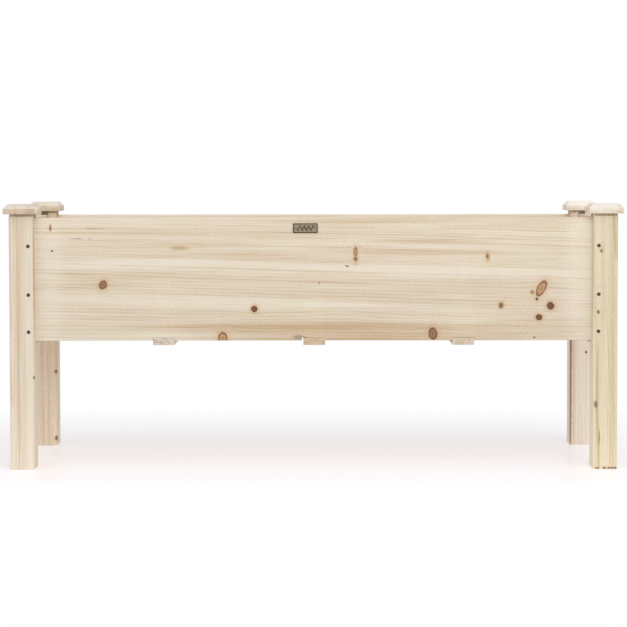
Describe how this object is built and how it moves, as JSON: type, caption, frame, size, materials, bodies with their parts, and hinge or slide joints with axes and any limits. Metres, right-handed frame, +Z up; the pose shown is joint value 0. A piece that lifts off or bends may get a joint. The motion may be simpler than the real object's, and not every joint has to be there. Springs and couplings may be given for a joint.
{
  "type": "raised planter on legs",
  "caption": "Long raised garden bed of pale fir: grooved corner posts with chamfered caps carry a deep rectangular box of slotted-in panels over a slatted floor.",
  "frame": {"origin": "on the ground, at the middle of the planter's footprint over the caps", "axes": "+X along the long sides, +Y from the front to the rear, +Z up; the front, with the name plate, faces -Y"},
  "size_m": [1.829, 0.584, 0.787],
  "materials": {
    "post_fir": "sanded, unfinished",
    "panel_fir": "sanded, unfinished",
    "cap_fir": "sanded, unfinished",
    "batten_fir": "sawn, unfinished",
    "floor_fir": "sawn, unfinished",
    "dowel_beech": "turned, unfinished",
    "screw_steel": "bronzed",
    "plate_metal": "satin"
  },
  "bodies": {
    "root": {"batten_screw_left_front": "screw_steel", "batten_screw_left_rear": "screw_steel", "batten_screw_middle_front": "screw_steel", "batten_screw_middle_rear": "screw_steel", "batten_screw_right_front": "screw_steel", "batten_screw_right_rear": "screw_steel", "cap_dowel_front_left": "dowel_beech", "cap_dowel_front_right": "dowel_beech", "cap_dowel_rear_left": "dowel_beech", "cap_dowel_rear_right": "dowel_beech", "cap_front_left": "cap_fir", "cap_front_right": "cap_fir", "cap_rear_left": "cap_fir", "cap_rear_right": "cap_fir", "end_screw_front_left_lower": "screw_steel", "end_screw_front_left_middle": "screw_steel", "end_screw_front_left_upper": "screw_steel", "end_screw_front_right_lower": "screw_steel", "end_screw_front_right_middle": "screw_steel", "end_screw_front_right_upper": "screw_steel", "end_screw_rear_left_lower": "screw_steel", "end_screw_rear_left_middle": "screw_steel", "end_screw_rear_left_upper": "screw_steel", "end_screw_rear_right_lower": "screw_steel", "end_screw_rear_right_middle": "screw_steel", "end_screw_rear_right_upper": "screw_steel", "floor_batten_left": "batten_fir", "floor_batten_middle": "batten_fir", "floor_batten_right": "batten_fir", "floor_board_1": "floor_fir", "floor_board_2": "floor_fir", "floor_board_3": "floor_fir", "floor_board_4": "floor_fir", "floor_board_5": "floor_fir", "floor_ledger_left": "batten_fir", "floor_ledger_right": "batten_fir", "front_panel": "panel_fir", "left_end_panel": "panel_fir", "long_screw_front_left_lower": "screw_steel", "long_screw_front_left_middle": "screw_steel", "long_screw_front_left_upper": "screw_steel", "long_screw_front_right_lower": "screw_steel", "long_screw_front_right_middle": "screw_steel", "long_screw_front_right_upper": "screw_steel", "long_screw_rear_left_lower": "screw_steel", "long_screw_rear_left_middle": "screw_steel", "long_screw_rear_left_upper": "screw_steel", "long_screw_rear_right_lower": "screw_steel", "long_screw_rear_right_middle": "screw_steel", "long_screw_rear_right_upper": "screw_steel", "name_plate": "plate_metal", "post_front_left": "post_fir", "post_front_right": "post_fir", "post_rear_left": "post_fir", "post_rear_right": "post_fir", "rear_panel": "panel_fir", "right_end_panel": "panel_fir"}
  },
  "joints": []
}
